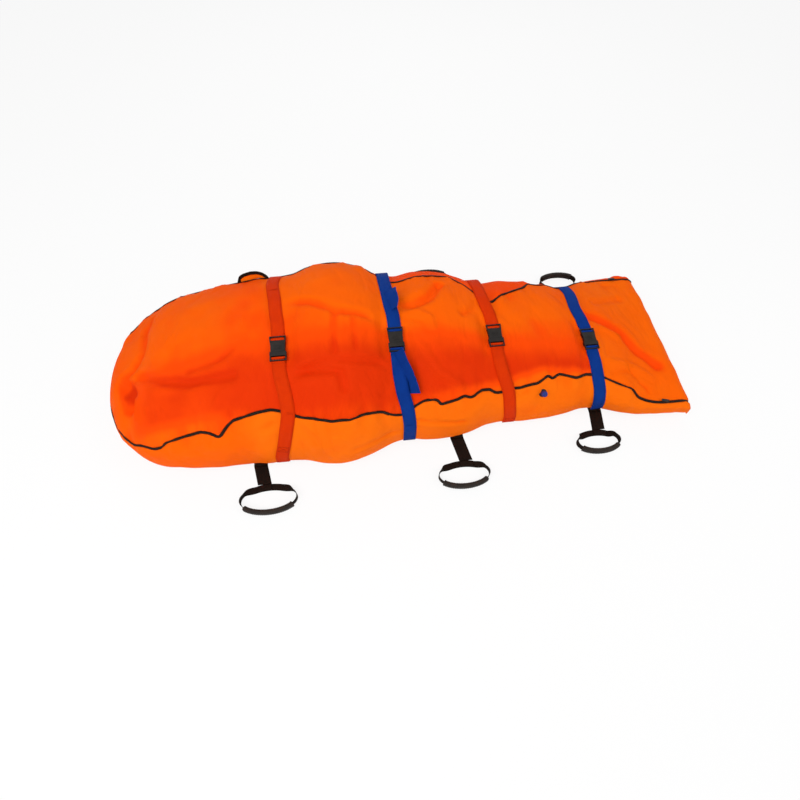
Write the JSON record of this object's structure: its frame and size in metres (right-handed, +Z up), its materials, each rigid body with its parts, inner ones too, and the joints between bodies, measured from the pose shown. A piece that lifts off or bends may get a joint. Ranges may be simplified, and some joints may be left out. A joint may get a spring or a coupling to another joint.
{
  "type": "vacuum stretcher",
  "caption": "Vacuum mattress in a zipped orange carrying bag, held shut by buckled cross straps and carried by webbing handles with rubber grips.",
  "frame": {"origin": "on the floor under the middle of the whole object", "axes": "+X along the bag towards the foot end, +Z up, -Y towards the near side, which carries the valve"},
  "size_m": [2.176, 1.1058, 0.4282],
  "materials": {
    "base_fabric": "coated woven polyester, light orange",
    "cover_fabric": "coated woven polyester, deep orange",
    "zip_tape": "woven tape with coil teeth",
    "orange_webbing": "woven webbing",
    "blue_webbing": "woven webbing",
    "black_webbing": "woven webbing",
    "black_plastic": "moulded, fine grain",
    "rubber": "ribbed, matt",
    "envelope_film": "coated airtight fabric",
    "beads": "loose foam beads",
    "metal": "die-cast, satin",
    "blue_plastic": "moulded"
  },
  "bodies": {
    "bag": {"bag_base": "base_fabric", "bag_cover": "cover_fabric", "buckle_socket_1": "black_plastic", "buckle_socket_2": "black_plastic", "buckle_socket_3": "black_plastic", "buckle_socket_4": "black_plastic", "carry_web_1": "black_webbing", "carry_web_2": "black_webbing", "carry_web_3": "black_webbing", "mattress_beads": "beads", "mattress_envelope": "envelope_film", "strap_far_1": "orange_webbing", "strap_far_2": "blue_webbing", "strap_far_3": "orange_webbing", "strap_far_4": "blue_webbing", "strap_near_1": "orange_webbing", "strap_near_2": "blue_webbing", "strap_near_3": "orange_webbing", "strap_near_4": "blue_webbing", "valve_body": "black_plastic", "zip_tape_lower": "zip_tape", "zip_tape_upper": "zip_tape"},
    "drop_near_1": {"handle_drop_near_1": "black_webbing"},
    "loop_near_1": {"handle_loop_near_1": "black_webbing", "handle_grip_near_1": "rubber"},
    "drop_near_2": {"handle_drop_near_2": "black_webbing"},
    "loop_near_2": {"handle_loop_near_2": "black_webbing", "handle_grip_near_2": "rubber"},
    "drop_near_3": {"handle_drop_near_3": "black_webbing"},
    "loop_near_3": {"handle_loop_near_3": "black_webbing", "handle_grip_near_3": "rubber"},
    "drop_far_1": {"handle_drop_far_1": "black_webbing"},
    "loop_far_1": {"handle_loop_far_1": "black_webbing", "handle_grip_far_1": "rubber"},
    "drop_far_2": {"handle_drop_far_2": "black_webbing"},
    "loop_far_2": {"handle_loop_far_2": "black_webbing", "handle_grip_far_2": "rubber"},
    "drop_far_3": {"handle_drop_far_3": "black_webbing"},
    "loop_far_3": {"handle_loop_far_3": "black_webbing", "handle_grip_far_3": "rubber"},
    "tongue_1": {"buckle_tongue_1": "black_plastic"},
    "head_prong_1": {"prong_head_1": "black_plastic"},
    "foot_prong_1": {"prong_foot_1": "black_plastic"},
    "tongue_2": {"buckle_tongue_2": "black_plastic"},
    "head_prong_2": {"prong_head_2": "black_plastic"},
    "foot_prong_2": {"prong_foot_2": "black_plastic"},
    "tongue_3": {"buckle_tongue_3": "black_plastic"},
    "head_prong_3": {"prong_head_3": "black_plastic"},
    "foot_prong_3": {"prong_foot_3": "black_plastic"},
    "tongue_4": {"buckle_tongue_4": "black_plastic"},
    "head_prong_4": {"prong_head_4": "black_plastic"},
    "foot_prong_4": {"prong_foot_4": "black_plastic"},
    "slider_near": {"zip_slider_near": "metal"},
    "pull_near": {"zip_pull_near": "metal"},
    "slider_far": {"zip_slider_far": "metal"},
    "pull_far": {"zip_pull_far": "metal"},
    "cap": {"valve_cap": "blue_plastic"},
    "stem": {"valve_stem": "metal"}
  },
  "joints": [
    {"name": "lift_near_1", "type": "hinge", "parent": "bag", "child": "drop_near_1", "pos_m": [-0.558, -0.36262, 0.0022], "axis": [-1, 0, 0], "range_deg": [0, 50]},
    {"name": "fold_near_1", "type": "hinge", "parent": "drop_near_1", "child": "loop_near_1", "pos_m": [-0.542, -0.43762, 0.0022], "axis": [-1, 0, 0], "range_deg": [0, 40]},
    {"name": "lift_near_2", "type": "hinge", "parent": "bag", "child": "drop_near_2", "pos_m": [0.183, -0.32874, 0.0022], "axis": [-1, 0, 0], "range_deg": [0, 50]},
    {"name": "fold_near_2", "type": "hinge", "parent": "drop_near_2", "child": "loop_near_2", "pos_m": [0.201, -0.42374, 0.0022], "axis": [-1, 0, 0], "range_deg": [0, 40]},
    {"name": "lift_near_3", "type": "hinge", "parent": "bag", "child": "drop_near_3", "pos_m": [0.75, -0.27142, 0.0022], "axis": [-1, 0, 0], "range_deg": [0, 40]},
    {"name": "fold_near_3", "type": "hinge", "parent": "drop_near_3", "child": "loop_near_3", "pos_m": [0.738, -0.35242, 0.0022], "axis": [-1, 0, 0], "range_deg": [0, 25]},
    {"name": "lift_far_1", "type": "hinge", "parent": "bag", "child": "drop_far_1", "pos_m": [-0.558, 0.36262, 0.0022], "axis": [1, 0, 0], "range_deg": [0, 50]},
    {"name": "fold_far_1", "type": "hinge", "parent": "drop_far_1", "child": "loop_far_1", "pos_m": [-0.574, 0.43762, 0.0022], "axis": [1, 0, 0], "range_deg": [0, 40]},
    {"name": "lift_far_2", "type": "hinge", "parent": "bag", "child": "drop_far_2", "pos_m": [0.183, 0.32874, 0.0022], "axis": [1, 0, 0], "range_deg": [0, 50]},
    {"name": "fold_far_2", "type": "hinge", "parent": "drop_far_2", "child": "loop_far_2", "pos_m": [0.165, 0.42374, 0.0022], "axis": [1, 0, 0], "range_deg": [0, 40]},
    {"name": "lift_far_3", "type": "hinge", "parent": "bag", "child": "drop_far_3", "pos_m": [0.75, 0.27142, 0.0022], "axis": [1, 0, 0], "range_deg": [0, 40]},
    {"name": "fold_far_3", "type": "hinge", "parent": "drop_far_3", "child": "loop_far_3", "pos_m": [0.762, 0.35242, 0.0022], "axis": [1, 0, 0], "range_deg": [0, 25]},
    {"name": "buckle_pull_1", "type": "slide", "parent": "bag", "child": "tongue_1", "axis": [0, -0.9792, -0.203], "range_m": [0, 0.048], "deforming": ["strap_near_1", "prong_head_1", "prong_foot_1"]},
    {"name": "press_head_1", "type": "hinge", "parent": "tongue_1", "child": "head_prong_1", "pos_m": [-0.4345, -0.13053, 0.37759], "axis": [0, 0.203, -0.9792], "range_deg": [0, 12], "stiffness_Nm_per_rad": 0.1},
    {"name": "press_foot_1", "type": "hinge", "parent": "tongue_1", "child": "foot_prong_1", "pos_m": [-0.4055, -0.13053, 0.37759], "axis": [0, -0.203, 0.9792], "range_deg": [0, 12], "stiffness_Nm_per_rad": 0.1},
    {"name": "buckle_pull_2", "type": "slide", "parent": "bag", "child": "tongue_2", "axis": [0, -0.9738, -0.2275], "range_m": [0, 0.048], "deforming": ["strap_near_2", "prong_head_2", "prong_foot_2"]},
    {"name": "press_head_2", "type": "hinge", "parent": "tongue_2", "child": "head_prong_2", "pos_m": [-0.0445, -0.12264, 0.36288], "axis": [0, 0.2275, -0.9738], "range_deg": [0, 12], "stiffness_Nm_per_rad": 0.1},
    {"name": "press_foot_2", "type": "hinge", "parent": "tongue_2", "child": "foot_prong_2", "pos_m": [-0.0155, -0.12264, 0.36288], "axis": [0, -0.2275, 0.9738], "range_deg": [0, 12], "stiffness_Nm_per_rad": 0.1},
    {"name": "buckle_pull_3", "type": "slide", "parent": "bag", "child": "tongue_3", "axis": [0, -0.9892, -0.1469], "range_m": [0, 0.048], "deforming": ["strap_near_3", "prong_head_3", "prong_foot_3"]},
    {"name": "press_head_3", "type": "hinge", "parent": "tongue_3", "child": "head_prong_3", "pos_m": [0.3155, -0.09224, 0.29665], "axis": [0, 0.1469, -0.9892], "range_deg": [0, 12], "stiffness_Nm_per_rad": 0.1},
    {"name": "press_foot_3", "type": "hinge", "parent": "tongue_3", "child": "foot_prong_3", "pos_m": [0.3445, -0.09224, 0.29665], "axis": [0, -0.1469, 0.9892], "range_deg": [0, 12], "stiffness_Nm_per_rad": 0.1},
    {"name": "buckle_pull_4", "type": "slide", "parent": "bag", "child": "tongue_4", "axis": [0, -0.9952, -0.0983], "range_m": [0, 0.048], "deforming": ["strap_near_4", "prong_head_4", "prong_foot_4"]},
    {"name": "press_head_4", "type": "hinge", "parent": "tongue_4", "child": "head_prong_4", "pos_m": [0.6955, -0.08596, 0.21632], "axis": [0, 0.0983, -0.9952], "range_deg": [0, 12], "stiffness_Nm_per_rad": 0.1},
    {"name": "press_foot_4", "type": "hinge", "parent": "tongue_4", "child": "foot_prong_4", "pos_m": [0.7245, -0.08596, 0.21632], "axis": [0, -0.0983, 0.9952], "range_deg": [0, 12], "stiffness_Nm_per_rad": 0.1},
    {"name": "zip_run_near", "type": "slide", "parent": "bag", "child": "slider_near", "axis": [-0.9716, 0.1744, 0.1598], "range_m": [0, 0.095]},
    {"name": "pull_flip_near", "type": "hinge", "parent": "slider_near", "child": "pull_near", "pos_m": [0.98214, -0.3133, 0.11292], "axis": [0.2056, 0.9568, 0.2055], "range_deg": [0, 150]},
    {"name": "zip_run_far", "type": "slide", "parent": "bag", "child": "slider_far", "axis": [-0.9804, -0.1308, 0.1472], "range_m": [0, 0.095]},
    {"name": "pull_flip_far", "type": "hinge", "parent": "slider_far", "child": "pull_far", "pos_m": [0.98221, 0.30918, 0.11388], "axis": [-0.157, 0.9704, -0.1838], "range_deg": [0, 150]},
    {"name": "cap_pull", "type": "slide", "parent": "bag", "child": "cap", "axis": [0, -0.7008, 0.7134], "range_m": [0, 0.02]},
    {"name": "stem_press", "type": "slide", "parent": "bag", "child": "stem", "axis": [0, 0.7008, -0.7134], "range_m": [0, 0.004], "stiffness_N_per_m": 300}
  ]
}
